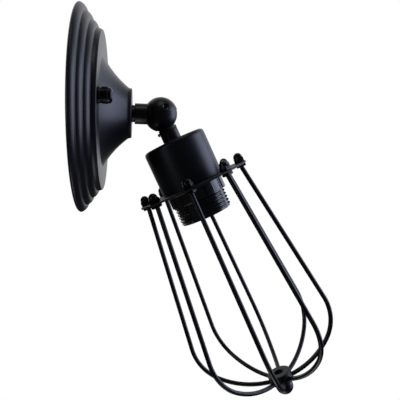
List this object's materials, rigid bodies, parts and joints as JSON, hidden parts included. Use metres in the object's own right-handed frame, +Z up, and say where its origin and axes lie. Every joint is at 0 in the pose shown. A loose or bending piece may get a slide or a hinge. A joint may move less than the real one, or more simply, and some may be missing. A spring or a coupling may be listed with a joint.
{
  "type": "cage wall light",
  "caption": "Wall light with a stepped round canopy, a swivelling and tilting ball joint, a screw lampholder under a cup and a pear-shaped wire cage round the lamp.",
  "frame": {"origin": "centre of the canopy's back face, on the wall and midway between the strap's two slots", "axes": "+X out of the wall along the canopy's axis, +Z up, +Y along the mounting strap"},
  "size_m": [0.1905, 0.143, 0.2813],
  "materials": {
    "black_metal": "satin black powder coat",
    "black_steel": "blackened steel",
    "zinc_steel": "bright zinc plate",
    "brass": "plain brass",
    "white_plastic": "moulded white",
    "black_plastic": "glossy black moulding",
    "ceramic": "white glazed ceramic",
    "nylon": "natural nylon"
  },
  "bodies": {
    "wall_mount": {"mounting_strap": "zinc_steel", "strap_studs": "zinc_steel", "stud_lock_nuts": "zinc_steel", "canopy": "black_metal", "canopy_cap_nuts": "black_metal", "terminal_block": "white_plastic", "terminal_screws": "brass", "block_fixing_screw": "zinc_steel", "earth_washer": "zinc_steel", "earth_screw": "brass", "neck_washer": "black_metal", "boss_stiffener": "zinc_steel"},
    "swivel": {"nipple": "zinc_steel", "spring_washer": "zinc_steel", "stop_washer": "zinc_steel", "nipple_lock_nut": "zinc_steel", "swivel_neck": "black_metal", "ball_shell": "black_metal", "ball_grub_screw": "black_steel", "friction_spring": "zinc_steel", "friction_seat": "nylon"},
    "lamp_head": {"rotor_ball": "zinc_steel", "stem_collar": "black_metal", "stem": "black_metal", "lamp_cup": "black_metal", "stem_washer": "zinc_steel", "stem_nut": "zinc_steel", "lampholder_cap": "black_plastic", "lampholder_body": "black_plastic", "contact_block": "ceramic", "screw_shell": "brass", "centre_contact": "brass", "contact_screws": "brass", "cage_plate": "black_metal", "shade_ring": "black_plastic", "cage_wire_1": "black_metal", "cage_wire_2": "black_metal", "cage_wire_3": "black_metal", "cage_wire_4": "black_metal", "cage_wire_5": "black_metal", "cage_wire_6": "black_metal", "cage_wire_7": "black_metal", "cage_wire_8": "black_metal", "acorn_nuts": "black_metal", "under_nuts": "black_metal", "cage_hub": "black_metal", "finial": "black_metal"}
  },
  "joints": [
    {"name": "canopy_swivel", "type": "hinge", "parent": "wall_mount", "child": "swivel", "pos_m": [0.0572, 0, 0], "axis": [1, 0, 0], "range_deg": [-165, 165]},
    {"name": "head_tilt", "type": "hinge", "parent": "swivel", "child": "lamp_head", "pos_m": [0.0572, 0, 0], "axis": [0, -1, 0], "range_deg": [-18.3, 63.4]}
  ]
}
